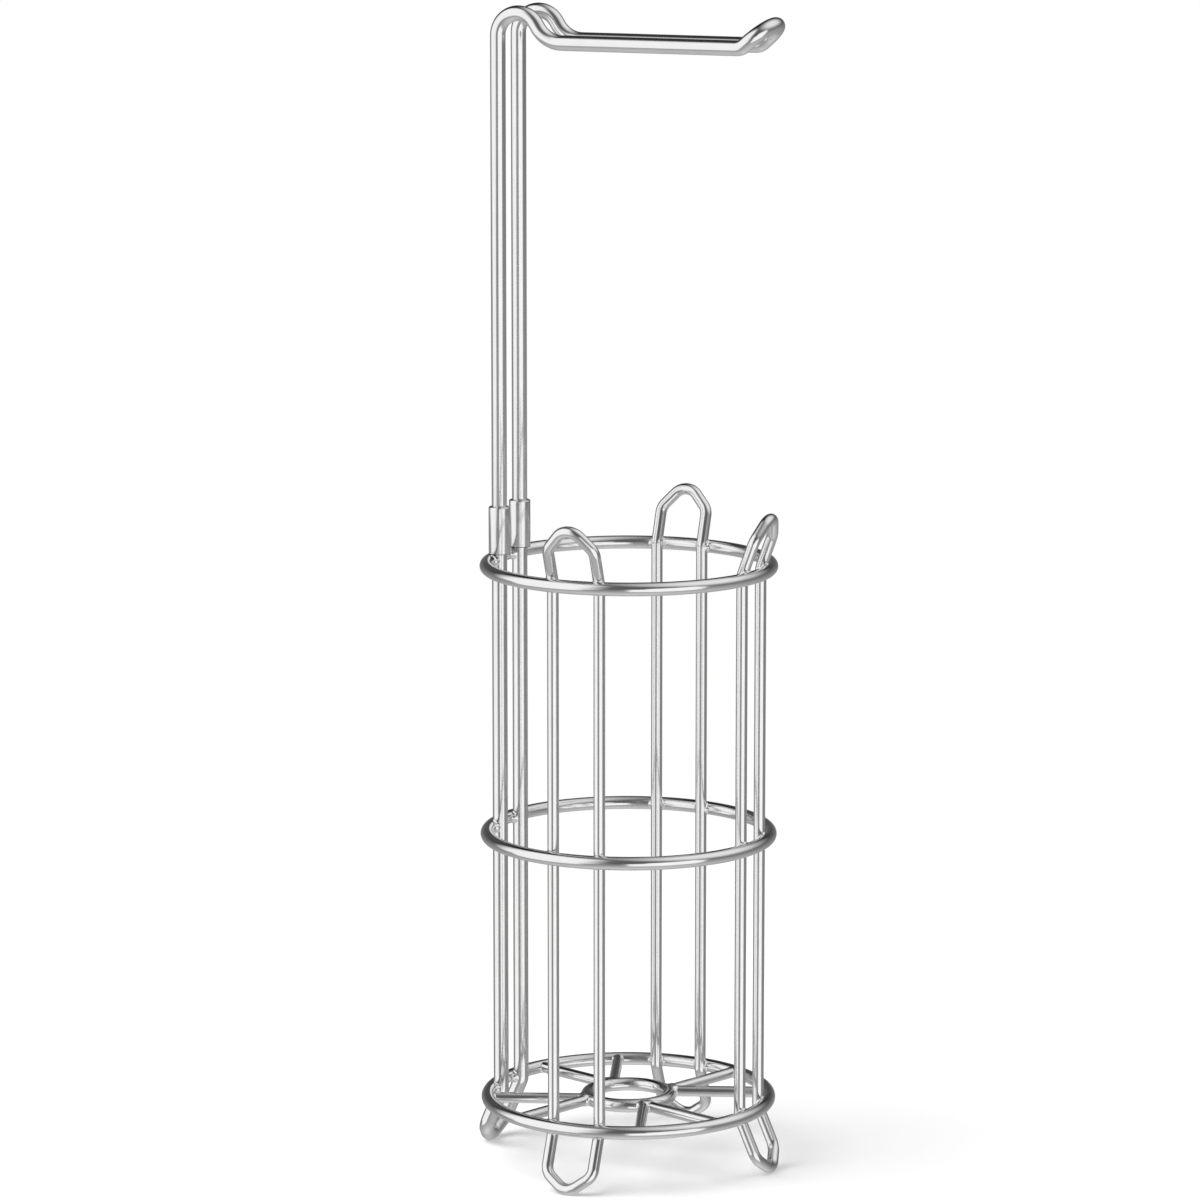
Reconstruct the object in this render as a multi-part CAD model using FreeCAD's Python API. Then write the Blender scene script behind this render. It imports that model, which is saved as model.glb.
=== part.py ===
import FreeCAD, Part
import math
import os

# Free-standing toilet roll stand of plated steel wire, with room for spare rolls.
# Three rings are welded round four pairs of uprights. A twin-rod hook lifts out of two ferrules
# on the left pair and carries the roll in use.
# The origin is on the floor, on the rings' axis. +Z is up, the hook's arm points to +X.
# Lengths are in millimetres and angles in degrees.

# Stock
frame_wire_radius = 3.0       # 6 mm wire of the three closed frames
ring_wire_radius = 3.5        # 7 mm wire of all the rings
rod_radius = 4.0              # 8 mm rod of the hook and of what carries it
spoke_radius = 2.85           # 5.7 mm wire of the spokes

# Rings
ring_radius = 74.0            # to the wire's centre line, 155 mm across outside
centre_ring_radius = 21.7
bottom_ring_height = 32.8     # floor to centre line
ring_pitch = 141.75

# Pairs of uprights, which stand inside the rings and sink into them at the welds
upright_half_spacing = 12.85
wire_weld_sink = 2.1
rod_weld_sink = 2.5
wire_pair_angles = {"front": -90.0, "right": 0.0, "back": 90.0}
rod_pair_angle = 180.0
drawn_angle = -90.0           # frames are drawn at the -Y side and turned to their places

# Feet and top arches of the frames
bend_inside_radius = 5.0      # the bending pin, for wire and rod
foot_bend_drop = 1.5          # the legs splay from just below the bottom ring
foot_splay_angle = 23.4
foot_toe_angle = 52.2         # turn from leg to toe
foot_flat_depth = 0.2         # small flats that the feet stand on
arch_bend_rise = 1.1          # the arches lean from just above the top ring
arch_lean_angle = 20.0
arch_leg_length = 19.0
arch_turn_angle = 41.0

# Ferrules, which stand on the top ring
ferrule_length = 25.0
ferrule_wall = 1.6
ferrule_clearance = 0.05      # radial, for the hook's rods to slide in
ferrule_rim_round = 0.8
hook_engagement = 13.0        # depth that the hook goes into a ferrule
rod_end_chamfer = 0.5

# Hook
hook_crest_height = 600.6     # centre line at the top of the crest
hook_arm_height = 586.0       # centre line of the level arm
hook_crest_radius = 11.6
hook_dip_radius = 15.7
hook_dip_angle = 58.2
hook_tip_angle = 40.6
hook_tip_radius = 6.6
hook_tip_straight = 2.0
hook_reach = 79.7             # axis of the rings to the centre line of the tip

# Spokes, in four pairs that spread from the centre ring
spoke_pair_count = 4
spoke_spread_angle = 24.75    # each spoke's turn from its pair's middle line

# Welds
wire_bead = 1.7               # radius of the beads beside a wire upright
rod_bead = 2.5                # and beside a rod
spoke_collar_height = 0.7     # how far the collar at a spoke's end stands proud

same_place = 0.001            # two points nearer than this are one, as where two bends meet

# Worked out from the above
middle_ring_height = bottom_ring_height + ring_pitch
top_ring_height = middle_ring_height + ring_pitch
ring_inside_radius = ring_radius - ring_wire_radius
wire_place_radius = ring_inside_radius - frame_wire_radius + wire_weld_sink
rod_place_radius = ring_inside_radius - rod_radius + rod_weld_sink
wire_plane = math.sqrt(wire_place_radius ** 2 - upright_half_spacing ** 2)
rod_plane = math.sqrt(rod_place_radius ** 2 - upright_half_spacing ** 2)
ferrule_base_height = top_ring_height + ring_wire_radius
rod_seat_height = ferrule_base_height + ferrule_length - hook_engagement

origin = FreeCAD.Vector(0, 0, 0)
upward = FreeCAD.Vector(0, 0, 1)
rightward = FreeCAD.Vector(1, 0, 0)


def point(x, y, z):
    return FreeCAD.Vector(x, y, z)


def turned(shape, angle):
    # A copy of a shape or a point, turned about the rings' axis.
    turn = FreeCAD.Rotation(upward, angle)
    if isinstance(shape, FreeCAD.Vector):
        return turn.multVec(shape)
    copy = shape.copy()
    copy.Placement = FreeCAD.Placement(origin, turn).multiply(copy.Placement)
    return copy


def bend(before, corner, after, radius):
    # Where the arc that rounds a corner starts, its crown, and where it ends.
    inward = (before - corner).normalize()
    outward = (after - corner).normalize()
    half = inward.getAngle(outward) / 2
    reach = radius / math.tan(half)
    crown = (inward + outward).normalize() * (radius / math.sin(half) - radius)
    return corner + inward * reach, corner + crown, corner + outward * reach


def centre_line(points, radii):
    # Straight runs through the points, with the corners between them rounded. The first and
    # last points are plain ends, which are the same point in a closed wire.
    edges = []
    start = points[0]
    for before, corner, after, radius in zip(points, points[1:], points[2:], radii):
        entry, crown, exit = bend(before, corner, after, radius)
        if entry.distanceToPoint(start) > same_place:
            edges.append(Part.LineSegment(start, entry).toShape())
        edges.append(Part.Arc(entry, crown, exit).toShape())
        start = exit
    edges.append(Part.LineSegment(start, points[-1]).toShape())
    return Part.Wire(edges)


def bent_wire(points, radii, radius):
    # Round wire along the centre line.
    heading = points[1] - points[0]
    section = Part.Wire([Part.Circle(points[0], heading, radius).toShape()])
    return centre_line(points, radii).makePipe(Part.Face(section))


def foot_points(plane, wire_radius):
    # Near half of a foot, at the -Y side: base bend, toe bend and the toe's point. The leg is as
    # long as it takes to set the toe on the floor.
    bend_radius = bend_inside_radius + wire_radius
    top = bottom_ring_height - foot_bend_drop
    splay = math.radians(foot_splay_angle)
    toe = math.radians(foot_toe_angle)
    lowest = (top - wire_radius + foot_flat_depth) / math.cos(splay)
    tip = lowest + bend_radius / math.sin(toe) - bend_radius
    leg = tip - upright_half_spacing / math.tan(toe)
    side = -upright_half_spacing
    places = []
    for across, along in ((side, 0), (side, leg), (0, tip)):
        places.append(point(across, -plane - along * math.sin(splay), top - along * math.cos(splay)))
    return places


def arch_points(plane):
    # Near half of a top arch, at the -Y side: lean bend, shoulder bend and the arch's point.
    base = top_ring_height + arch_bend_rise
    lean = math.radians(arch_lean_angle)
    tip = arch_leg_length + upright_half_spacing / math.tan(math.radians(arch_turn_angle))
    side = -upright_half_spacing
    places = []
    for across, along in ((side, 0), (side, arch_leg_length), (0, tip)):
        places.append(point(across, -plane - along * math.sin(lean), base + along * math.cos(lean)))
    return places


def mirrored(places):
    # The other half of a symmetric outline, from its middle back to its start.
    return [point(-place.x, place.y, place.z) for place in reversed(places[:-1])]


def on_floor(shape):
    # Trims what reaches below the floor, which leaves the feet's small flats.
    box = shape.BoundBox
    corner = point(box.XMin, box.YMin, -box.ZLength)
    return shape.cut(Part.makeBox(box.XLength, box.YLength, box.ZLength, corner))


def wire_frame():
    # One closed loop of wire at the -Y side: two uprights, a splayed foot and a leaning arch.
    start = point(-upright_half_spacing, -wire_plane, middle_ring_height)
    foot = foot_points(wire_plane, frame_wire_radius)
    arch = arch_points(wire_plane)
    outline = [start] + foot + mirrored(foot) + mirrored(arch)[::-1] + arch[::-1] + [start]
    bend_radius = bend_inside_radius + frame_wire_radius
    return on_floor(bent_wire(outline, [bend_radius] * (len(outline) - 2), frame_wire_radius))


def rod_frame():
    # The U of rod on the left that holds the ferrules: two rods and the foot that joins them.
    foot = foot_points(rod_plane, rod_radius)
    start = point(-upright_half_spacing, -rod_plane, rod_seat_height)
    end = point(upright_half_spacing, -rod_plane, rod_seat_height)
    outline = [start] + foot + mirrored(foot) + [end]
    bend_radius = bend_inside_radius + rod_radius
    u_frame = bent_wire(outline, [bend_radius] * (len(outline) - 2), rod_radius)
    return turned(on_floor(u_frame), rod_pair_angle - drawn_angle)


def hook():
    # A hairpin of rod. Seen from the side it rises, turns over a crest, dips to the level arm
    # and tips up at the end, where the two rods join in a half round.
    dip = math.radians(hook_dip_angle)
    tip = math.radians(hook_tip_angle)
    left = -rod_plane
    crest_run = hook_crest_radius + hook_crest_radius * math.tan(dip / 2)
    fall = (hook_crest_height - hook_arm_height) / math.tan(dip)
    tip_run = hook_tip_radius * math.tan(tip / 2) + hook_tip_straight + upright_half_spacing
    tip_start = hook_reach - tip_run * math.cos(tip)
    profile = [
        (left, rod_seat_height),
        (left, hook_crest_height),
        (left + crest_run, hook_crest_height),
        (left + crest_run + fall, hook_arm_height),
        (tip_start, hook_arm_height),
        (hook_reach, hook_arm_height + tip_run * math.sin(tip)),
    ]
    near = [point(x, -upright_half_spacing, z) for x, z in profile]
    far = [point(x, upright_half_spacing, z) for x, z in reversed(profile)]
    bends = [hook_crest_radius, hook_crest_radius, hook_dip_radius, hook_tip_radius]
    radii = bends + [upright_half_spacing, upright_half_spacing] + bends[::-1]
    rod = bent_wire(near + far, radii, rod_radius)
    ends = [edge for edge in rod.Edges if edge.BoundBox.ZMax < rod_seat_height + rod_end_chamfer]
    return rod.makeChamfer(rod_end_chamfer, ends)


def ferrule(side):
    # A short tube that stands on the top ring. Its lower part holds the stand's rod, its upper
    # part takes the hook's, and its upper rim is rounded.
    bore = rod_radius + ferrule_clearance
    base = point(-rod_plane, side * upright_half_spacing, ferrule_base_height)
    outside = Part.makeCylinder(bore + ferrule_wall, ferrule_length, base, upward)
    rim = [edge for edge in outside.Edges if edge.BoundBox.ZMin > ferrule_base_height]
    outside = outside.makeFillet(ferrule_rim_round, rim)
    return outside.cut(Part.makeCylinder(bore, ferrule_length, base, upward))


def ring(radius, height):
    return Part.makeTorus(radius, ring_wire_radius, point(0, 0, height), upward)


def spoke_angles():
    # Middle lines of the spoke pairs, halfway between the pairs of uprights.
    step = 360 / spoke_pair_count
    return [step * (index + 0.5) - 180 for index in range(spoke_pair_count)]


def spoke_run(radius):
    # Distance along a spoke from the centre ring's centre line to a wider circle.
    spread = math.radians(spoke_spread_angle)
    across = centre_ring_radius * math.sin(spread)
    return math.sqrt(radius ** 2 - across ** 2) - centre_ring_radius * math.cos(spread)


def spoke_wire(middle_angle, side):
    # Plain wire from the centre ring's centre line to the bottom ring's.
    start = point(centre_ring_radius, 0, bottom_ring_height)
    heading = turned(rightward, side * spoke_spread_angle)
    wire = Part.makeCylinder(spoke_radius, spoke_run(ring_radius), start, heading)
    return turned(wire, middle_angle)


def spoke(middle_angle, side):
    # One spoke of a pair, coped to both rings and mitred against its neighbour. The pair's
    # middle line is worked on along +X and then turned to its place.
    wire = spoke_wire(0, side)
    wide = spoke_run(ring_radius)
    low_corner = point(0, -wide if side > 0 else 0, bottom_ring_height - wide)
    other_side = Part.makeBox(ring_radius, wide, wide + wide, low_corner)
    wire = wire.cut(other_side)
    for radius in (centre_ring_radius, ring_radius):
        wire = wire.cut(ring(radius, bottom_ring_height))
    return turned(wire, middle_angle)


def crease_beads(place_angle, place_radius, wire_radius, bead, height):
    # Two balls of weld metal where an upright meets a ring's inner face, one in each crease.
    reach = ring_inside_radius ** 2 + place_radius ** 2 - wire_radius ** 2
    crease = math.degrees(math.acos(reach / (2 * ring_inside_radius * place_radius)))
    centre = point(ring_inside_radius, 0, height)
    balls = []
    for side in (-1, 1):
        pole = FreeCAD.Vector(-1, side, 0)
        balls.append(turned(Part.makeSphere(bead, centre, pole), place_angle + side * crease))
    return balls


def ring_beads(height):
    # The beads at the eight crossings of one ring.
    wire_offset = math.degrees(math.asin(upright_half_spacing / wire_place_radius))
    rod_offset = math.degrees(math.asin(upright_half_spacing / rod_place_radius))
    beads = []
    for side in (-1, 1):
        for pair_angle in wire_pair_angles.values():
            place = pair_angle + side * wire_offset
            beads += crease_beads(place, wire_place_radius, frame_wire_radius, wire_bead, height)
        place = rod_pair_angle + side * rod_offset
        beads += crease_beads(place, rod_place_radius, rod_radius, rod_bead, height)
    return beads


def spoke_collar(middle_angle, side, face_radius):
    # A ball round a spoke's end, where it meets the face of a ring.
    run = turned(point(spoke_run(face_radius), 0, 0), side * spoke_spread_angle)
    centre = point(centre_ring_radius, 0, bottom_ring_height) + run
    return turned(Part.makeSphere(spoke_radius + spoke_collar_height, centre, run), middle_angle)


def pair_collars(middle_angle):
    # One collar to each spoke of a pair on the bottom ring, and one on the centre ring for both.
    centre_ring_face = centre_ring_radius + ring_wire_radius
    rim = [spoke_collar(middle_angle, side, ring_inside_radius) for side in (-1, 1)]
    hub = [spoke_collar(middle_angle, side, centre_ring_face) for side in (-1, 1)]
    return rim + [hub[0].fuse(hub[1])]


def weld(beads, members):
    # What stands out of the joined pieces, as separate small solids.
    outside = []
    for bead in beads:
        near = [member for member in members if bead.BoundBox.intersect(member.BoundBox)]
        outside += bead.cut(near).Solids
    return Part.makeCompound(outside)


def build():
    nodes = {}
    drawn_frame = wire_frame()
    for name, angle in wire_pair_angles.items():
        nodes[name + "_frame"] = turned(drawn_frame, angle - drawn_angle)
    nodes["hook_support_frame"] = rod_frame()
    frames = list(nodes.values())

    heights = {"bottom": bottom_ring_height, "middle": middle_ring_height, "top": top_ring_height}
    for name, height in heights.items():
        nodes[name + "_ring"] = ring(ring_radius, height).cut(frames)
    nodes["centre_ring"] = ring(centre_ring_radius, bottom_ring_height)

    spokes = []
    for middle_angle in spoke_angles():
        for side in (-1, 1):
            spokes.append(spoke(middle_angle, side))
            nodes["spoke_%d" % len(spokes)] = spokes[-1]

    nodes["near_ferrule"] = ferrule(-1)
    nodes["far_ferrule"] = ferrule(1)
    nodes["hook"] = hook()

    for name, height in heights.items():
        nodes[name + "_ring_welds"] = weld(ring_beads(height), frames + [ring(ring_radius, height)])
    members = [spoke_wire(angle, side) for angle in spoke_angles() for side in (-1, 1)]
    members += [ring(ring_radius, bottom_ring_height), nodes["centre_ring"]]
    for number, middle_angle in enumerate(spoke_angles(), 1):
        nodes["spoke_pair_%d_welds" % number] = weld(pair_collars(middle_angle), members)
    return nodes


os.makedirs("parts", exist_ok=True)
for name, shape in build().items():
    shape.exportStep("parts/" + name + ".step")
    print(name, len(shape.Solids), "solids", round(shape.Volume), "mm3", "valid", shape.isValid())
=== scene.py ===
import math
import bpy
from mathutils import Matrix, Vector


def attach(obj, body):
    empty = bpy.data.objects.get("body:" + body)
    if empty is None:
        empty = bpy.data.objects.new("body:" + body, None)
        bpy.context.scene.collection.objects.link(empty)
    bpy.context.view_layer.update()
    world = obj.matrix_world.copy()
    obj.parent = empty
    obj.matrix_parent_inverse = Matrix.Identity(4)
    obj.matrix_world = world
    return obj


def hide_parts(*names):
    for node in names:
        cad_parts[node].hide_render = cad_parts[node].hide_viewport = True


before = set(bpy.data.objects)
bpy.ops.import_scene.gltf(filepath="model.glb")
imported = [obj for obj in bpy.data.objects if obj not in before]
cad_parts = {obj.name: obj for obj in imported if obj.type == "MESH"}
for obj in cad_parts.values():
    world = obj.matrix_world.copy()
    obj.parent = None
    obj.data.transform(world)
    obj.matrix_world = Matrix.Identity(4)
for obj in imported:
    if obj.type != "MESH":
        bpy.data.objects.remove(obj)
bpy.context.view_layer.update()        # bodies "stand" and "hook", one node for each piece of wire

mm = 0.001

# Free-standing toilet roll stand, welded from wire and plated in satin nickel.
# It stands on z = 0 with its rings round the Z axis, and the hook's arm points to +X.
# All the sizes below are in millimetres and degrees, as on the workshop drawing.

stock = {
    "frameWire": 3.0,        # radius of the 6 mm wire
    "ringWire": 3.5,
    "rod": 4.0,
    "spokeWire": 2.85,
    "sides": 48,             # facets round a wire
    "bendStep": 4.0,         # degrees of a bend in one facet
    "tuck": 0.05,            # how far one wire runs on inside the next, so that no slit shows
    "smoothAngle": 35,       # sharper edges than this stay sharp
}

nearEnough = {
    "weld": 0.002,           # points this near each other are merged
    "seam": 0.01,            # and so are these, across a plane of symmetry
    "cut": 0.0001,           # points this near a cutting plane lie on it
    "level": 0.001,          # heights or places that are the same
    "end": 0.01,             # at the end of a rod or tube
    "circle": 0.05,          # on one circle round a tube
    "wall": 0.1,             # at the outside or the bore of a tube
}

rings = {
    "radius": 74.0,
    "centreRadius": 21.7,
    "heights": {"bottom_ring": 32.8, "middle_ring": 174.55, "top_ring": 316.3},
    "steps": 240,
    "centreSteps": 96,
}

uprights = {
    "halfSpacing": 12.85,
    "wireSink": 2.1,         # how deep a wire is welded into the ring
    "rodSink": 2.5,
    "pinRadius": 5.0,        # inside radius of every bend in the frames
    "turns": {"right_frame": 90, "back_frame": 180},     # from the front frame, at the -Y side
    "frontSide": -90,        # polar angle of the front frame
    "rodSide": 180,
    "rodTurn": -90,          # from the -Y side to the -X side
}


def clearSelection():
    if bpy.context.object and bpy.context.object.mode != 'OBJECT':
        bpy.ops.object.mode_set(mode='OBJECT')
    bpy.ops.object.select_all(action='DESELECT')


def activate(piece):
    clearSelection()
    piece.select_set(True)
    bpy.context.view_layer.objects.active = piece
    return piece


def named(name):
    piece = bpy.context.object
    piece.name = name
    piece.data.name = name
    return piece


def freeze(piece):
    activate(piece)
    bpy.ops.object.transform_apply(location=True, rotation=True, scale=True)
    return piece


def point(x, y, z):
    return Vector((x, y, z)) * mm


def turnedBack(place):
    return Vector((-place.x, place.y, place.z))


def bends(points, radii):
    # each bend as its centre, axis, turn, entry and exit
    found = []
    for before, corner, after, radius in zip(points, points[1:], points[2:], radii):
        inward = (before - corner).normalized()
        outward = (after - corner).normalized()
        turn = math.pi - inward.angle(outward)
        reach = radius * mm * math.tan(turn / 2)
        centre = corner + (inward + outward).normalized() * radius * mm / math.cos(turn / 2)
        axis = inward.cross(outward).normalized()        # spin turns clockwise about its axis
        found.append((centre, axis, turn, corner + inward * reach, corner + outward * reach))
    return found


def bendWire(name, points, radii, radius, fromCrown=False, toCrown=False):
    # Wire bent along the points. From or to a crown, it starts or ends
    # halfway round the first or last bend.
    clearSelection()
    turns = bends(points, radii)
    start, heading = points[0], points[1] - points[0]
    if fromCrown:
        centre, axis, turn, entry, leave = turns[0]
        middle = (entry + leave) / 2 - centre
        start, heading = centre + middle.normalized() * radii[0] * mm, leave - entry
    bpy.ops.mesh.primitive_circle_add(
        vertices=stock["sides"], radius=radius * mm, fill_type='NOTHING', location=start,
        rotation=heading.to_track_quat('Z', 'Y').to_euler())
    piece = freeze(named(name))
    bpy.ops.object.mode_set(mode='EDIT')
    bpy.ops.mesh.select_all(action='SELECT')
    place = start
    for index, (centre, axis, turn, entry, leave) in enumerate(turns):
        first = fromCrown and index == 0
        half = first or (toCrown and index == len(turns) - 1)
        if not first and (entry - place).length > nearEnough["level"] * mm:
            bpy.ops.mesh.extrude_region_move(TRANSFORM_OT_translate={"value": entry - place})
        angle = turn / 2 if half else turn
        steps = max(2, round(math.degrees(angle) / stock["bendStep"]))
        bpy.ops.mesh.spin(steps=steps, angle=angle, center=centre, axis=axis)
        place = leave
    if not toCrown:
        bpy.ops.mesh.extrude_region_move(TRANSFORM_OT_translate={"value": points[-1] - place})
    bpy.ops.object.mode_set(mode='OBJECT')
    return piece


def mirror(piece, axis):
    # the other half, joined to this one across the plane of symmetry
    activate(piece)
    bpy.ops.object.modifier_add(type='MIRROR')
    half = piece.modifiers[-1]
    half.use_axis = [axis == letter for letter in "XYZ"]
    half.merge_threshold = nearEnough["seam"] * mm
    bpy.ops.object.modifier_apply(modifier=half.name)
    return piece


def close(piece):
    # caps what is open, and points every face outwards
    activate(piece)
    bpy.ops.object.mode_set(mode='EDIT')
    bpy.ops.mesh.select_all(action='SELECT')
    bpy.ops.mesh.remove_doubles(threshold=nearEnough["weld"] * mm)
    bpy.ops.mesh.fill_holes(sides=0)
    bpy.ops.mesh.normals_make_consistent(inside=False)
    bpy.ops.object.mode_set(mode='OBJECT')
    return piece


def smooth(piece, angle=stock["smoothAngle"]):
    activate(piece)
    bpy.ops.object.shade_smooth_by_angle(angle=math.radians(angle))
    return piece


def onFloor(piece):
    # the small flat that a foot stands on
    activate(piece)
    bpy.ops.object.mode_set(mode='EDIT')
    bpy.ops.mesh.select_all(action='SELECT')
    bpy.ops.mesh.bisect(plane_co=(0, 0, 0), plane_no=(0, 0, 1), clear_inner=True, use_fill=True,
                        threshold=nearEnough["cut"] * mm)
    bpy.ops.object.mode_set(mode='OBJECT')
    return piece


def turnedCopy(piece, name, degrees):
    activate(piece)
    bpy.ops.object.duplicate()
    copy = named(name)
    copy.rotation_euler.z = math.radians(degrees)
    return freeze(copy)


foot = {
    "bendDrop": 1.5,
    "splay": 23.4,
    "toe": 52.2,
    "flat": 0.2,             # what the floor trims off the toe
}


def footPoints(plane, radius):
    bendRadius = uprights["pinRadius"] + radius
    top = rings["heights"]["bottom_ring"] - foot["bendDrop"]
    splay, toe = math.radians(foot["splay"]), math.radians(foot["toe"])
    lowest = (top - radius + foot["flat"]) / math.cos(splay)
    tip = lowest + bendRadius / math.sin(toe) - bendRadius
    leg = tip - uprights["halfSpacing"] / math.tan(toe)

    def along(across, down):
        return point(across, -plane - down * math.sin(splay), top - down * math.cos(splay))

    side = uprights["halfSpacing"]
    return [along(0, tip), along(side, leg), along(side, 0)]


arch = {
    "bendRise": 1.1,
    "lean": 20.0,
    "leg": 19.0,
    "turn": 41.0,
}


def archPoints(plane):
    base = rings["heights"]["top_ring"] + arch["bendRise"]
    lean = math.radians(arch["lean"])
    tip = arch["leg"] + uprights["halfSpacing"] / math.tan(math.radians(arch["turn"]))

    def along(across, up):
        return point(across, -plane - up * math.sin(lean), base + up * math.cos(lean))

    side = uprights["halfSpacing"]
    return [along(side, 0), along(side, arch["leg"]), along(0, tip)]


def planeOf(radius, sink):
    # distance from the Z axis to the plane of a pair of uprights
    place = rings["radius"] - stock["ringWire"] - radius + sink
    return math.sqrt(place ** 2 - uprights["halfSpacing"] ** 2)


ferrule = {
    "length": 25.0,
    "wall": 1.6,
    "clearance": 0.05,
    "rim": 0.8,
    "rimFacets": 6,
    "edge": 0.15,            # the other edges are only deburred
    "edgeFacets": 2,
    "engagement": 13.0,      # the hook's rods go this far in
    "sides": 96,
    "smoothAngle": 30,
}


def rodEnds():
    # height inside the ferrules at which the stand's rods end and the hook's stand on them
    return (rings["heights"]["top_ring"] + stock["ringWire"] + ferrule["length"]
            - ferrule["engagement"])


def wireFrame(name):
    plane = planeOf(stock["frameWire"], uprights["wireSink"])
    lower = footPoints(plane, stock["frameWire"])
    upper = archPoints(plane)
    points = [turnedBack(lower[1])] + lower + upper + [turnedBack(upper[1])]
    radii = [uprights["pinRadius"] + stock["frameWire"]] * (len(points) - 2)
    piece = bendWire(name, points, radii, stock["frameWire"], fromCrown=True, toCrown=True)
    return smooth(close(onFloor(mirror(piece, "X"))))


def rodFrame(name):
    # the U of rod that carries the ferrules, drawn at the -Y side and turned to -X
    plane = planeOf(stock["rod"], uprights["rodSink"])
    lower = footPoints(plane, stock["rod"])
    points = [turnedBack(lower[1])] + lower + [point(uprights["halfSpacing"], -plane, rodEnds())]
    radii = [uprights["pinRadius"] + stock["rod"]] * (len(points) - 2)
    piece = bendWire(name, points, radii, stock["rod"], fromCrown=True)
    piece = close(onFloor(mirror(piece, "X")))
    piece.rotation_euler.z = math.radians(uprights["rodTurn"])
    return smooth(freeze(piece))


hook = {
    "crest": 600.6,          # centre line at the top of the crest
    "arm": 586.0,
    "crestRadius": 11.6,
    "dipRadius": 15.7,
    "dipAngle": 58.2,
    "tipAngle": 40.6,
    "tipRadius": 6.6,
    "tipStraight": 2.0,
    "reach": 79.7,
    "endChamfer": 0.5,
    "chamferFacets": 2,
}


def hookRod(name):
    # half of the hairpin from the middle of its tip, then mirrored
    dip, tip = math.radians(hook["dipAngle"]), math.radians(hook["tipAngle"])
    left = -planeOf(stock["rod"], uprights["rodSink"])
    side = uprights["halfSpacing"]
    crestRun = hook["crestRadius"] * (1 + math.tan(dip / 2))
    fall = (hook["crest"] - hook["arm"]) / math.tan(dip)
    tipRun = hook["tipRadius"] * math.tan(tip / 2) + hook["tipStraight"] + side
    tipStart = hook["reach"] - tipRun * math.cos(tip)
    seat = rodEnds()
    points = [
        point(hook["reach"], 0, hook["arm"] + tipRun * math.sin(tip)),
        point(hook["reach"], side, hook["arm"] + tipRun * math.sin(tip)),
        point(tipStart, side, hook["arm"]),
        point(left + crestRun + fall, side, hook["arm"]),
        point(left + crestRun, side, hook["crest"]),
        point(left, side, hook["crest"]),
        point(left, side, seat),
    ]
    radii = [side, hook["tipRadius"], hook["dipRadius"], hook["crestRadius"], hook["crestRadius"]]
    piece = close(mirror(bendWire(name, points, radii, stock["rod"]), "Y"))
    pickEdges(piece, lambda a, b: max(a.z, b.z) < (seat + nearEnough["end"]) * mm)
    bpy.ops.mesh.bevel(offset=hook["endChamfer"] * mm, segments=hook["chamferFacets"], affect='EDGES')
    bpy.ops.object.mode_set(mode='OBJECT')
    return smooth(piece)


def pickEdges(piece, rule):
    # selects the edges whose two ends pass the rule, in edit mode
    activate(piece)
    bpy.ops.object.mode_set(mode='EDIT')
    bpy.ops.mesh.select_mode(type='EDGE')
    bpy.ops.mesh.select_all(action='DESELECT')
    bpy.ops.object.mode_set(mode='OBJECT')
    mesh = piece.data
    for edge in mesh.edges:
        edge.select = rule(*(mesh.vertices[index].co for index in edge.vertices))
    bpy.ops.object.mode_set(mode='EDIT')


def pickFaces(piece, rule):
    # selects the faces that pass the rule, in edit mode
    activate(piece)
    bpy.ops.object.mode_set(mode='EDIT')
    bpy.ops.mesh.select_mode(type='FACE')
    bpy.ops.mesh.select_all(action='DESELECT')
    bpy.ops.object.mode_set(mode='OBJECT')
    for face in piece.data.polygons:
        face.select = rule(face)
    bpy.ops.object.mode_set(mode='EDIT')


def rolledRing(name, radius, height, wireRadius, steps, degrees=360, middle=0):
    # wire rolled round the Z axis, as a whole ring or as a stretch of one
    clearSelection()
    first = math.radians(middle - degrees / 2)
    bpy.ops.mesh.primitive_circle_add(
        vertices=stock["sides"], radius=wireRadius * mm, fill_type='NOTHING',
        location=point(radius * math.cos(first), radius * math.sin(first), height),
        rotation=(math.pi / 2, 0, first))
    piece = freeze(named(name))
    bpy.ops.object.mode_set(mode='EDIT')
    bpy.ops.mesh.select_all(action='SELECT')
    bpy.ops.mesh.spin(steps=steps, angle=math.radians(degrees),
                      center=(0, 0, height * mm), axis=(0, 0, -1))
    bpy.ops.object.mode_set(mode='OBJECT')
    return close(piece)


def combine(piece, other, operation='DIFFERENCE'):
    activate(piece)
    bpy.ops.object.modifier_add(type='BOOLEAN')
    cut = piece.modifiers[-1]
    cut.operation, cut.solver, cut.object = operation, 'EXACT', other
    bpy.ops.object.modifier_apply(modifier=cut.name)
    return piece


def drop(*pieces):
    for piece in pieces:
        bpy.data.objects.remove(piece)


def thinner(piece, name):
    # a copy that is thinner by the tuck, to cut its seat in another wire
    activate(piece)
    bpy.ops.object.duplicate()
    copy = named(name)
    bpy.ops.object.mode_set(mode='EDIT')
    bpy.ops.mesh.select_all(action='SELECT')
    bpy.ops.transform.shrink_fatten(value=-stock["tuck"] * mm)
    bpy.ops.object.mode_set(mode='OBJECT')
    return copy


built = {}

print("bending the frames")
built["front_frame"] = wireFrame("frontFrame")
for name, degrees in uprights["turns"].items():
    built[name] = turnedCopy(built["front_frame"], name.replace("_frame", "Frame"), degrees)
built["hook_support_frame"] = rodFrame("hookSupportFrame")
built["hook"] = hookRod("twinRodHook")

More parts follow.
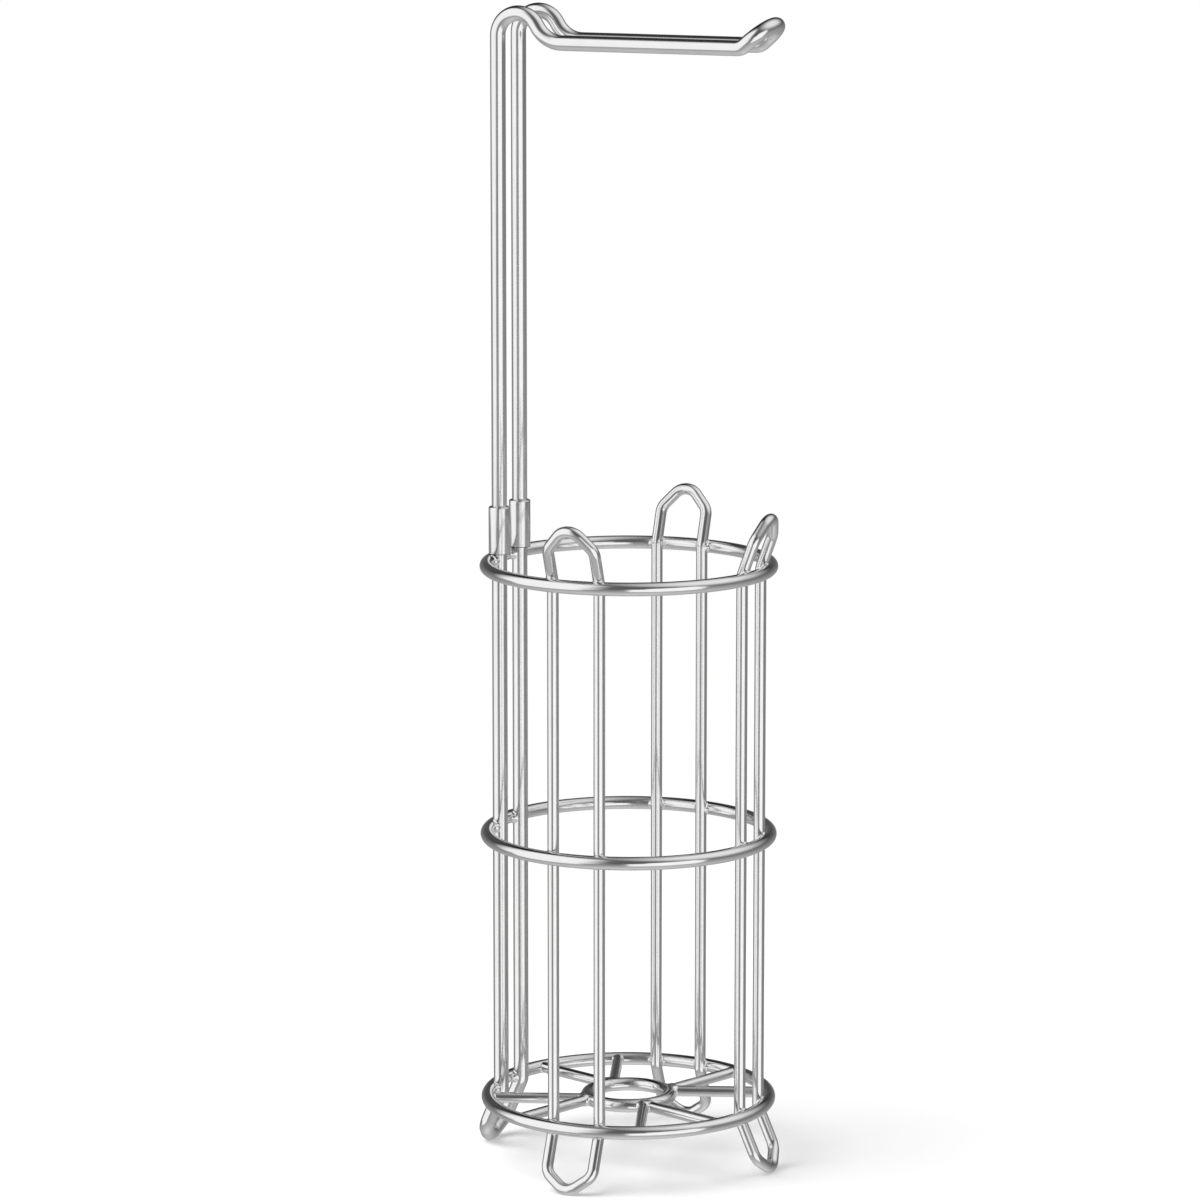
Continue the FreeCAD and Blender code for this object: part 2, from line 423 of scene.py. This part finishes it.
print("rolling the rings")
seats = [thinner(piece, "seat") for name, piece in built.items() if name.endswith("frame")]
for name, height in rings["heights"].items():
    ring = rolledRing(name.replace("_ring", "Ring"), rings["radius"], height,
                      stock["ringWire"], rings["steps"])
    for seat in seats:
        combine(ring, seat)
    built[name] = smooth(ring)
drop(*seats)
built["centre_ring"] = smooth(rolledRing(
    "centreRing", rings["centreRadius"], rings["heights"]["bottom_ring"],
    stock["ringWire"], rings["centreSteps"]))


spokes = {
    "middles": [-135, -45, 45, 135],     # the four pairs, clear of the uprights
    "spread": 24.75,
}


def spokeRun(radius):
    # distance along a spoke from the centre ring's centre line to a wider circle
    spread = math.radians(spokes["spread"])
    return (math.sqrt(radius ** 2 - (rings["centreRadius"] * math.sin(spread)) ** 2)
            - rings["centreRadius"] * math.cos(spread))


def spokeAxis(side):
    # start and heading of a spoke whose pair lies along +X
    spread = math.radians(spokes["spread"])
    start = point(rings["centreRadius"], 0, rings["heights"]["bottom_ring"])
    return start, Vector((math.cos(spread), side * math.sin(spread), 0))


def straightWire(name, start, heading, first, last, radius):
    clearSelection()
    bpy.ops.mesh.primitive_cylinder_add(
        vertices=stock["sides"], radius=radius * mm, depth=(last - first) * mm,
        location=start + heading * (first + last) / 2 * mm,
        rotation=heading.to_track_quat('Z', 'Y').to_euler())
    return freeze(named(name))


def mirroredCopy(piece, name, axis):
    activate(piece)
    bpy.ops.object.duplicate()
    copy = named(name)
    copy.scale["XYZ".index(axis)] = -1
    return close(freeze(copy))


def copedSpoke():
    # mitred against its neighbour, then coped to both rings
    start, heading = spokeAxis(1)
    spoke = straightWire("spoke", start, heading, 0, spokeRun(rings["radius"]), stock["spokeWire"])
    bpy.ops.object.mode_set(mode='EDIT')
    bpy.ops.mesh.select_all(action='SELECT')
    bpy.ops.mesh.bisect(plane_co=start, plane_no=(0, 1, 0), clear_inner=True, use_fill=True,
                        threshold=nearEnough["cut"] * mm)
    bpy.ops.object.mode_set(mode='OBJECT')
    inner = (rings["centreRadius"], rings["centreSteps"])
    outer = (rings["radius"], rings["steps"])
    for radius, steps in (inner, outer):
        seat = rolledRing("seat", radius, rings["heights"]["bottom_ring"],
                          stock["ringWire"] - stock["tuck"], steps)
        combine(spoke, seat)
        drop(seat)
    return spoke


def tube(name, side):
    # a ferrule on the top ring, bored right through
    outside = stock["rod"] + ferrule["clearance"] + ferrule["wall"]
    base = rings["heights"]["top_ring"] + stock["ringWire"]
    axis = point(-planeOf(stock["rod"], uprights["rodSink"]), side * uprights["halfSpacing"], base)
    middle = axis + point(0, 0, ferrule["length"] / 2)
    clearSelection()
    bpy.ops.mesh.primitive_cylinder_add(vertices=ferrule["sides"], radius=outside * mm,
                                        depth=ferrule["length"] * mm, location=middle)
    piece = freeze(named(name))
    pickFaces(piece, lambda face: round(abs(face.normal.z)) == 1)
    bpy.ops.mesh.inset(thickness=ferrule["wall"] * mm, use_individual=True)
    bpy.ops.mesh.bridge_edge_loops()

    def away(place):
        return (Vector((place.x, place.y)) - Vector((axis.x, axis.y))).length

    def onCircle(a, b):
        # an edge that runs level round the tube
        return (abs(a.z - b.z) < nearEnough["level"] * mm
                and abs(away(a) - away(b)) < nearEnough["circle"] * mm)

    def atTop(a):
        return a.z > (base + ferrule["length"]) * mm - nearEnough["end"] * mm

    def isRim(a, b):
        return (onCircle(a, b) and atTop(a)
                and min(away(a), away(b)) > (outside - nearEnough["wall"]) * mm)

    def isEdge(a, b):
        inBore = max(away(a), away(b)) < (outside - ferrule["wall"] + nearEnough["wall"]) * mm
        atFoot = a.z < base * mm + nearEnough["end"] * mm
        return onCircle(a, b) and (atFoot or (atTop(a) and inBore))

    pickEdges(piece, isRim)
    bpy.ops.mesh.bevel(offset=ferrule["rim"] * mm, segments=ferrule["rimFacets"], affect='EDGES')
    pickEdges(piece, isEdge)
    bpy.ops.mesh.bevel(offset=ferrule["edge"] * mm, segments=ferrule["edgeFacets"], affect='EDGES')
    return smooth(close(piece), ferrule["smoothAngle"])


welds = {
    "overlap": 1.8,          # length of the wires beyond a bead that is taken in
    "stretch": 7.0,          # length of ring on either side of a spoke's end that is taken in
    "stretchSteps": 14,
    "hubStretch": 60,        # degrees of the centre ring that a pair of spokes takes in
    "hubSteps": 16,
    "beadFineness": 3,       # subdivisions of a bead before the flow
    "wireBead": 1.5,         # before the flow, which takes some of it
    "rodBead": 2.4,
    "footBead": 1.9,         # a second bead beside a rod, up to the ferrule's foot
    "footRise": 2.3,
    "footDepth": 0.9,        # how far into the ring it starts
    "hubCollar": 0.8,        # round a spoke's end at the centre ring
    "rimCollar": 0.2,        # and at the bottom ring, where hardly more than a fillet shows
    "grain": 0.34,           # size of the faces while the metal is flowed together
    "flow": 34,              # rounds of smoothing
    "flowStrength": 0.5,
    "smoothAngle": 180,      # a flowed skin has no sharp edge
    "ripple": 0.32,          # unevenness of the frozen metal
    "rippleSize": 1.9,
    "rippleLevel": 0.80,     # how much of the ripple is hollow, so that the skin dives under the wires
}


def stub(piece, centre, reach):
    # the stretch of a finished wire round a crossing
    activate(piece)
    bpy.ops.object.duplicate()
    copy = named("stub")
    clearSelection()
    bpy.ops.mesh.primitive_cube_add(size=2 * reach * mm, location=centre)
    block = freeze(named("block"))
    combine(copy, block, 'INTERSECT')
    drop(block)
    return copy


def joined(name, pieces):
    activate(pieces[0])
    for piece in pieces:
        piece.select_set(True)
    bpy.ops.object.join()
    return named(name)


def ball(centre, radius):
    clearSelection()
    bpy.ops.mesh.primitive_ico_sphere_add(subdivisions=welds["beadFineness"], radius=radius * mm,
                                          location=centre)
    return freeze(named("ball"))


def crossing(frameWire, angle, wireRadius, sink, bead, height, underTube=False):
    # a ring's stretch, an upright's stretch and the beads in the creases between them
    inside = rings["radius"] - stock["ringWire"]
    place = inside - wireRadius + sink
    crease = math.degrees(math.acos((inside ** 2 + place ** 2 - wireRadius ** 2) / (2 * inside * place)))
    offset = math.degrees(math.asin(uprights["halfSpacing"] / place))

    def around(radius, degrees):
        turn = math.radians(degrees)
        return point(radius * math.cos(turn), radius * math.sin(turn), height)

    middle = angle + offset
    reach = wireRadius + bead + welds["overlap"]
    parts = [stub(frameWire, around(place, middle), reach)]
    parts.append(rolledRing("stretch", rings["radius"], height, stock["ringWire"],
                            welds["stretchSteps"], 2 * math.degrees(reach / rings["radius"]), middle))
    for degrees in (middle - crease, middle + crease):
        parts.append(ball(around(inside, degrees), bead))
        if underTube:
            rise = point(0, 0, welds["footRise"])
            parts.append(ball(around(inside + welds["footDepth"], degrees) + rise, welds["footBead"]))
    return joined("crossing", parts)


def flow(piece, name):
    # the parts of a weld melted into one skin, smoothed, then rippled as it froze
    activate(piece)
    bpy.ops.object.modifier_add(type='REMESH')
    skin = piece.modifiers[-1]
    skin.mode, skin.voxel_size, skin.adaptivity = 'VOXEL', welds["grain"] * mm, 0
    bpy.ops.object.modifier_apply(modifier=skin.name)
    bpy.ops.object.modifier_add(type='SMOOTH')
    even = piece.modifiers[-1]
    even.factor, even.iterations = welds["flowStrength"], welds["flow"]
    bpy.ops.object.modifier_apply(modifier=even.name)
    bpy.ops.object.modifier_add(type='DISPLACE')
    rough = piece.modifiers[-1]
    rough.texture, rough.texture_coords = rippleTexture, 'LOCAL'
    rough.strength, rough.mid_level = welds["ripple"] * mm, welds["rippleLevel"]
    bpy.ops.object.modifier_apply(modifier=rough.name)
    return smooth(named(name), welds["smoothAngle"])


def ringWelds(name, height):
    wire = crossing(built["front_frame"], uprights["frontSide"], stock["frameWire"],
                    uprights["wireSink"], welds["wireBead"], height)
    mirror(wire, "X")
    rod = crossing(built["hook_support_frame"], uprights["rodSide"], stock["rod"],
                   uprights["rodSink"], welds["rodBead"], height,
                   underTube=height == rings["heights"]["top_ring"])
    mirror(rod, "Y")
    others = [turnedCopy(wire, "crossing", degrees) for degrees in uprights["turns"].values()]
    return flow(joined("weld", [wire, rod] + others), name)


def pairWelds():
    # the welds of one pair of spokes, along +X
    height = rings["heights"]["bottom_ring"]
    reach = math.degrees(welds["stretch"] / rings["radius"])
    rimFace = rings["radius"] - stock["ringWire"]
    hubFace = rings["centreRadius"] + stock["ringWire"]
    hub, rim = spokeRun(hubFace), spokeRun(rimFace)
    taken = welds["stretch"] / 2
    parts = [rolledRing("stretch", rings["centreRadius"], height, stock["ringWire"],
                        welds["hubSteps"], welds["hubStretch"])]
    for side in (-1, 1):
        start, heading = spokeAxis(side)
        for first, last in ((0, hub + taken), (rim - taken, rim + stock["ringWire"])):
            parts.append(straightWire("stretch", start, heading, first, last, stock["spokeWire"]))
        end = start + heading * rim * mm
        parts.append(rolledRing("stretch", rings["radius"], height, stock["ringWire"],
                                welds["stretchSteps"], 2 * reach,
                                math.degrees(math.atan2(end.y, end.x))))
        for along, collar in ((hub, welds["hubCollar"]), (rim, welds["rimCollar"])):
            parts.append(ball(start + heading * along * mm, stock["spokeWire"] + collar))
    return joined("weld", parts)


print("coping the spokes")
rightHand = copedSpoke()
leftHand = mirroredCopy(rightHand, "spoke", "Y")
for number, middle in enumerate(spokes["middles"]):
    for half, pattern in enumerate((leftHand, rightHand)):
        index = 2 * number + half + 1
        built["spoke_%d" % index] = smooth(close(turnedCopy(pattern, "spoke%d" % index, middle)))
drop(rightHand, leftHand)

print("boring the ferrules")
built["near_ferrule"] = tube("nearFerrule", -1)
built["far_ferrule"] = tube("farFerrule", 1)

print("flowing the welds")
rippleTexture = bpy.data.textures.new("weldRipple", 'CLOUDS')
rippleTexture.noise_basis = 'IMPROVED_PERLIN'        # without creases
rippleTexture.noise_scale = welds["rippleSize"] * mm
for level, height in rings["heights"].items():
    built[level + "_welds"] = ringWelds(level.replace("_ring", "RingWelds"), height)
pair = pairWelds()
for number, middle in enumerate(spokes["middles"], 1):
    name = "spokePair%dWelds" % number
    built["spoke_pair_%d_welds" % number] = flow(turnedCopy(pair, name, middle), name)
drop(pair)


def linear(hexColour):
    # sRGB hex to the linear colour that a socket takes
    parts = [int(hexColour[i:i + 2], 16) / 255 for i in (1, 3, 5)]
    light = [part / 12.92 if part <= 0.04045 else ((part + 0.055) / 1.055) ** 2.4 for part in parts]
    return light + [1]


def addNode(tree, kind, settings, links):
    # a node with its settings, and with each input set or linked
    node = tree.nodes.new(kind)
    for setting, value in settings.items():
        setattr(node, setting, value)
    for socket, value in links.items():
        if isinstance(value, bpy.types.NodeSocket):
            tree.links.new(value, node.inputs[socket])
        else:
            node.inputs[socket].default_value = value
    return node


def newMaterial(name):
    # an empty one. A Mix node takes its factor at 0, its colours at 6 and 7 and its numbers at 2 and 3.
    material = bpy.data.materials.new(name)
    material.use_nodes = True
    tree = material.node_tree
    tree.nodes.clear()
    return material, tree


plate = {
    "bright": "#e6e6e6",     # nickel where the plate is thick
    "dull": "#dcdcdc",
    "cloud": 9.0,            # mm across a patch of thicker plate
    "cloudDetail": 2.0,
    "grain": 0.5,            # mm, the satin's grain, drawn coarse enough to show
    "grainDetail": 3.0,
    "grainRange": (0.3, 0.7),            # of the pattern, from the smoothest to the roughest
    "smoothest": 0.125,
    "roughest": 0.165,
    "relief": 0.001,         # mm
}


def satinNickelPlate():
    # bright nickel over drawn wire, tumbled to a satin:
    # a soft mirror, a little cloudy, with a fine grain
    material, tree = newMaterial("satinNickelPlate")
    place = addNode(tree, "ShaderNodeTexCoord", {}, {}).outputs["Object"]
    cloud = addNode(tree, "ShaderNodeTexNoise", {}, {
        "Vector": place, "Scale": 1 / (plate["cloud"] * mm),
        "Detail": plate["cloudDetail"]}).outputs["Fac"]
    grain = addNode(tree, "ShaderNodeTexNoise", {}, {
        "Vector": place, "Scale": 1 / (plate["grain"] * mm),
        "Detail": plate["grainDetail"]}).outputs["Fac"]
    colour = addNode(tree, "ShaderNodeMix", {"data_type": 'RGBA'}, {
        0: cloud, 6: linear(plate["dull"]), 7: linear(plate["bright"])}).outputs[2]
    roughness = addNode(tree, "ShaderNodeMapRange", {}, {
        "Value": grain, "From Min": plate["grainRange"][0], "From Max": plate["grainRange"][1],
        "To Min": plate["smoothest"], "To Max": plate["roughest"]}).outputs["Result"]
    relief = addNode(tree, "ShaderNodeBump", {}, {
        "Height": grain, "Strength": 1.0, "Distance": plate["relief"] * mm}).outputs["Normal"]
    shader = addNode(tree, "ShaderNodeBsdfPrincipled", {}, {
        "Base Color": colour, "Metallic": 1.0, "Roughness": roughness, "Normal": relief})
    addNode(tree, "ShaderNodeOutputMaterial", {}, {"Surface": shader.outputs["BSDF"]})
    return material


weldPlate = {
    "bright": "#eeeeee",
    "scorched": "#5c5c5c",   # specks of scale under the plate
    "speck": 0.8,            # mm
    "speckDetail": 4.0,
    "speckRange": (0.65, 0.75),          # of the pattern, from clean to scorched
    "pitRange": (0.35, 0.65),            # and from the smoothest to the roughest
    "smoothest": 0.13,
    "roughest": 0.27,
    "relief": 0.012,         # mm
}


def platedWeld():
    # nickel over a raw weld: as bright as the wire and rougher, with small pits and a few dark specks
    material, tree = newMaterial("platedWeld")
    place = addNode(tree, "ShaderNodeTexCoord", {}, {}).outputs["Object"]
    pits = addNode(tree, "ShaderNodeTexNoise", {}, {
        "Vector": place, "Scale": 1 / (weldPlate["speck"] * mm),
        "Detail": weldPlate["speckDetail"]}).outputs["Fac"]
    specks = addNode(tree, "ShaderNodeMapRange", {}, {
        "Value": pits, "From Min": weldPlate["speckRange"][0],
        "From Max": weldPlate["speckRange"][1]}).outputs["Result"]
    colour = addNode(tree, "ShaderNodeMix", {"data_type": 'RGBA'}, {
        0: specks, 6: linear(weldPlate["bright"]), 7: linear(weldPlate["scorched"])}).outputs[2]
    roughness = addNode(tree, "ShaderNodeMapRange", {}, {
        "Value": pits, "From Min": weldPlate["pitRange"][0], "From Max": weldPlate["pitRange"][1],
        "To Min": weldPlate["smoothest"], "To Max": weldPlate["roughest"]}).outputs["Result"]
    relief = addNode(tree, "ShaderNodeBump", {"invert": True}, {
        "Height": pits, "Strength": 1.0, "Distance": weldPlate["relief"] * mm}).outputs["Normal"]
    shader = addNode(tree, "ShaderNodeBsdfPrincipled", {}, {
        "Base Color": colour, "Metallic": 1.0, "Roughness": roughness, "Normal": relief})
    addNode(tree, "ShaderNodeOutputMaterial", {}, {"Surface": shader.outputs["BSDF"]})
    return material


turned = {
    "bright": "#e6e6e6",
    "dull": "#dedede",
    "pitch": 0.45,           # mm from one tool mark to the next, drawn coarse enough to show
    "wander": 0.6,           # how unlevel the marks are
    "markDetail": 1.0,
    "roughness": 0.2,
    "relief": 0.0003,        # mm
    "seam": "#4c4c4c",       # painted shadow in the foot's corner, where the ferrule meets the ring
    "paintedShadeHeight": 0.3,       # mm
    "paintedShadeEdge": 0.1,
}


def turnedNickelPlate():
    # nickel over a turned tube: level tool marks round it, under a soft mirror,
    # and a thin painted shadow line at its foot, where it meets the ring
    material, tree = newMaterial("turnedNickelPlate")
    place = addNode(tree, "ShaderNodeTexCoord", {}, {}).outputs["Object"]
    marks = addNode(tree, "ShaderNodeTexWave", {"bands_direction": 'Z'}, {
        "Vector": place, "Scale": 1 / (turned["pitch"] * mm * 2 * math.pi),
        "Distortion": turned["wander"], "Detail": turned["markDetail"]}).outputs["Fac"]
    plated = addNode(tree, "ShaderNodeMix", {"data_type": 'RGBA'}, {
        0: marks, 6: linear(turned["dull"]), 7: linear(turned["bright"])}).outputs[2]
    # painted shadow: a thin dark band at the ferrule's foot, where it meets the ring
    height = addNode(tree, "ShaderNodeSeparateXYZ", {}, {"Vector": place}).outputs["Z"]
    paintedShadeTop = rings["heights"]["top_ring"] + stock["ringWire"] + turned["paintedShadeHeight"]
    above = addNode(tree, "ShaderNodeMapRange", {}, {
        "Value": height, "From Min": paintedShadeTop * mm,
        "From Max": (paintedShadeTop + turned["paintedShadeEdge"]) * mm}).outputs["Result"]
    colour = addNode(tree, "ShaderNodeMix", {"data_type": 'RGBA'}, {
        0: above, 6: linear(turned["seam"]), 7: plated}).outputs[2]
    relief = addNode(tree, "ShaderNodeBump", {}, {
        "Height": marks, "Strength": 1.0, "Distance": turned["relief"] * mm}).outputs["Normal"]
    shader = addNode(tree, "ShaderNodeBsdfPrincipled", {}, {
        "Base Color": colour, "Metallic": 1.0, "Roughness": turned["roughness"], "Normal": relief})
    addNode(tree, "ShaderNodeOutputMaterial", {}, {"Surface": shader.outputs["BSDF"]})
    return material


print("plating")
wirePlate, jointPlate, tubePlate = satinNickelPlate(), platedWeld(), turnedNickelPlate()
for node, piece in built.items():
    finish = wirePlate
    if node.endswith("welds"):
        finish = jointPlate
    if node.endswith("ferrule"):
        finish = tubePlate
    piece.data.materials.clear()
    piece.data.materials.append(finish)
    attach(piece, "hook" if node == "hook" else "stand")
    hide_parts(node)


camera = {
    "azimuth": 23.35,        # degrees from the front towards +X
    "tilt": 9.963,           # degrees downwards
    "place": (1051.9, -2474.4, 770.2),
    "focalPixels": 5258.7,
    "imagePixels": 1200,
    "sensor": 36.0,
    "farthest": 100,         # metres
}


def addCamera():
    azimuth, tilt = math.radians(camera["azimuth"]), math.radians(camera["tilt"])
    forward = Vector((-math.sin(azimuth) * math.cos(tilt), math.cos(azimuth) * math.cos(tilt),
                      -math.sin(tilt)))
    data = bpy.data.cameras.new("camera")
    data.sensor_width = camera["sensor"]
    data.lens = camera["sensor"] * camera["focalPixels"] / camera["imagePixels"]
    data.clip_end = camera["farthest"]
    view = bpy.data.objects.new("camera", data)
    view.location = point(*camera["place"])
    view.rotation_euler = forward.to_track_quat('-Z', 'Y').to_euler()
    bpy.context.scene.collection.objects.link(view)
    bpy.context.scene.camera = view


# the studio round the object, as the metal mirrors it: azimuths from the camera, positive to its right
studio = {
    "dark": 0.01,            # behind and above
    "ground": 0.84,          # straight below
    "skirting": 25,          # elevation where the ground's light ends
    # azimuth, the way it faces, elevation, half width, half height, side edge, upper edge, light
    "softboxes": [
        (-70, -70, -7.5, 33, 24, 10, 8, 1.17),
        (-72, -62, 25, 46.5, 41, 34, 26, 1.17),
        (30, 30, -17, 31.5, 21, 5, 8, 1.22),
        (34, 34, -3, 21, 18, 6, 10, 1.22),
        (0, 0, 40, 50, 60, 30, 30, 0.13),
        (-160, -160, 20, 24, 18, 16, 20, 0.085),
    ],
    "ceiling": (91, 50, 40, 50),         # a glow: azimuth, elevation, half angle, soft edge
    "ceilingLight": 0.99,
    "sweep": (180, -10, 9, 4),           # the white background, as far as the metal mirrors it
}


def fading(tree, angle, half, edge):
    # 1 up to half, falling to 0 over the soft edge
    return addNode(tree, "ShaderNodeMapRange", {"interpolation_type": 'SMOOTHSTEP'}, {
        "Value": angle, "From Min": math.radians(half - edge / 2),
        "From Max": math.radians(half + edge / 2), "To Min": 1.0, "To Max": 0.0}).outputs["Result"]


def nearness(tree, angle, middle, half, edge):
    away = addNode(tree, "ShaderNodeMath", {"operation": 'SUBTRACT'}, {
        0: angle, 1: math.radians(middle)})
    size = addNode(tree, "ShaderNodeMath", {"operation": 'ABSOLUTE'}, {0: away.outputs[0]})
    return fading(tree, size.outputs[0], half, edge)


def brighter(tree, total, share, light):
    glow = addNode(tree, "ShaderNodeMath", {"operation": 'MULTIPLY'}, {0: share, 1: light}).outputs[0]
    return addNode(tree, "ShaderNodeMath", {"operation": 'MAXIMUM'}, {0: total, 1: glow}).outputs[0]


def towards(azimuth, elevation):
    across, up = math.radians(azimuth), math.radians(elevation)
    return Vector((math.sin(across) * math.cos(up), -math.cos(across) * math.cos(up), math.sin(up)))


def roundGlow(tree, direction, azimuth, elevation, half, edge):
    # brightest in its middle
    middle = towards(azimuth, elevation)
    along = addNode(tree, "ShaderNodeVectorMath", {"operation": 'DOT_PRODUCT'}, {
        0: direction, 1: middle}).outputs["Value"]
    away = addNode(tree, "ShaderNodeMath", {"operation": 'ARCCOSINE'}, {0: along}).outputs[0]
    return fading(tree, away, half, edge)


def lightStudio():
    world = bpy.data.worlds.new("studio")
    bpy.context.scene.world = world
    world.use_nodes = True
    tree = world.node_tree
    tree.nodes.clear()
    direction = addNode(tree, "ShaderNodeTexCoord", {}, {}).outputs["Generated"]
    turnedWay = addNode(tree, "ShaderNodeVectorRotate", {"rotation_type": 'Z_AXIS'}, {
        "Vector": direction, "Angle": -math.radians(camera["azimuth"])}).outputs[0]
    parts = addNode(tree, "ShaderNodeSeparateXYZ", {}, {"Vector": turnedWay}).outputs
    front = addNode(tree, "ShaderNodeMath", {"operation": 'MULTIPLY'}, {
        0: parts["Y"], 1: -1.0}).outputs[0]
    azimuth = addNode(tree, "ShaderNodeMath", {"operation": 'ARCTAN2'}, {
        0: parts["X"], 1: front}).outputs[0]
    elevation = addNode(tree, "ShaderNodeMath", {"operation": 'ARCSINE'}, {0: parts["Z"]}).outputs[0]
    total = addNode(tree, "ShaderNodeMapRange", {}, {
        "Value": elevation, "From Min": -math.pi / 2, "From Max": math.radians(studio["skirting"]),
        "To Min": studio["ground"], "To Max": studio["dark"]}).outputs["Result"]
    for across, facing, up, halfWidth, halfHeight, sideEdge, upperEdge, light in studio["softboxes"]:
        sideways = nearness(tree, azimuth, across, halfWidth, sideEdge)
        ahead = addNode(tree, "ShaderNodeVectorMath", {"operation": 'DOT_PRODUCT'}, {
            0: turnedWay, 1: towards(facing, 0)}).outputs["Value"]
        height = addNode(tree, "ShaderNodeMath", {"operation": 'ARCTAN2'}, {
            0: parts["Z"], 1: ahead}).outputs[0]
        # a flat box's top and foot are level
        upright = nearness(tree, height, up, halfHeight, upperEdge)
        share = addNode(tree, "ShaderNodeMath", {"operation": 'MULTIPLY'}, {
            0: sideways, 1: upright}).outputs[0]
        total = brighter(tree, total, share, light)
    ceiling = roundGlow(tree, turnedWay, *studio["ceiling"])
    total = brighter(tree, total, ceiling, studio["ceilingLight"])

    # the background is white to the camera all round, and to the metal where the sweep stands
    rays = addNode(tree, "ShaderNodeLightPath", {}, {}).outputs
    bounced = addNode(tree, "ShaderNodeMath", {"operation": 'MAXIMUM'}, {
        0: rays["Is Glossy Ray"], 1: rays["Is Transmission Ray"]}).outputs[0]
    mirrored = addNode(tree, "ShaderNodeMath", {"operation": 'MULTIPLY'}, {
        0: bounced, 1: roundGlow(tree, turnedWay, *studio["sweep"])}).outputs[0]
    seen = addNode(tree, "ShaderNodeMath", {"operation": 'MAXIMUM'}, {
        0: rays["Is Camera Ray"], 1: mirrored}).outputs[0]
    colour = addNode(tree, "ShaderNodeMix", {"data_type": 'FLOAT'}, {
        0: seen, 2: total, 3: 1.0}).outputs[0]
    background = addNode(tree, "ShaderNodeBackground", {}, {"Color": colour, "Strength": 1.0})
    addNode(tree, "ShaderNodeOutputWorld", {}, {"Surface": background.outputs[0]})


floor = {
    "size": 40000,
    "colour": "#e7e7e7",
    "fill": 0.21,            # a glow added to the paint, so that the shadow on it stays pale
    "near": 350,             # from the Z axis, where the paint begins to fade
    "far": 900,              # and where it is as white as the background
}


def layFloor():
    clearSelection()
    bpy.ops.mesh.primitive_plane_add(size=floor["size"] * mm)
    ground = named("floor")
    material, tree = newMaterial("paintedFloor")
    paint = addNode(tree, "ShaderNodeBsdfDiffuse", {}, {"Color": linear(floor["colour"])})
    fill = addNode(tree, "ShaderNodeEmission", {}, {"Strength": floor["fill"]})
    lit = addNode(tree, "ShaderNodeAddShader", {}, {0: paint.outputs[0], 1: fill.outputs[0]})
    place = addNode(tree, "ShaderNodeTexCoord", {}, {}).outputs["Object"]
    away = addNode(tree, "ShaderNodeVectorMath", {"operation": 'LENGTH'}, {0: place}).outputs["Value"]
    beyond = addNode(tree, "ShaderNodeMapRange", {"interpolation_type": 'SMOOTHSTEP'}, {
        "Value": away, "From Min": floor["near"] * mm, "From Max": floor["far"] * mm}).outputs["Result"]
    white = addNode(tree, "ShaderNodeEmission", {}, {"Strength": 1.0})
    surface = addNode(tree, "ShaderNodeMixShader", {}, {
        0: beyond, 1: lit.outputs[0], 2: white.outputs[0]})
    addNode(tree, "ShaderNodeOutputMaterial", {}, {"Surface": surface.outputs[0]})
    ground.data.materials.append(material)
    # the metal mirrors the studio, whose lower half stands for the floor
    ground.visible_glossy = False


sky = {
    "azimuth": -74,          # from the camera, as in the studio
    "elevation": 58,
    "spread": 50,            # degrees across, for a soft shadow
    "strength": 2.1,
}


def hangSky():
    # a very broad lamp from the upper left, for the shadow on the floor
    data = bpy.data.lights.new("sky", 'SUN')
    data.energy = sky["strength"]
    data.angle = math.radians(sky["spread"])
    lamp = bpy.data.objects.new("sky", data)
    place = towards(sky["azimuth"] + camera["azimuth"], sky["elevation"])
    lamp.rotation_euler = (-place).to_track_quat('-Z', 'Y').to_euler()
    lamp.visible_glossy = False
    bpy.context.scene.collection.objects.link(lamp)


print("setting the studio")
addCamera()
lightStudio()
layFloor()
hangSky()
bpy.context.scene.view_settings.view_transform = 'Standard'
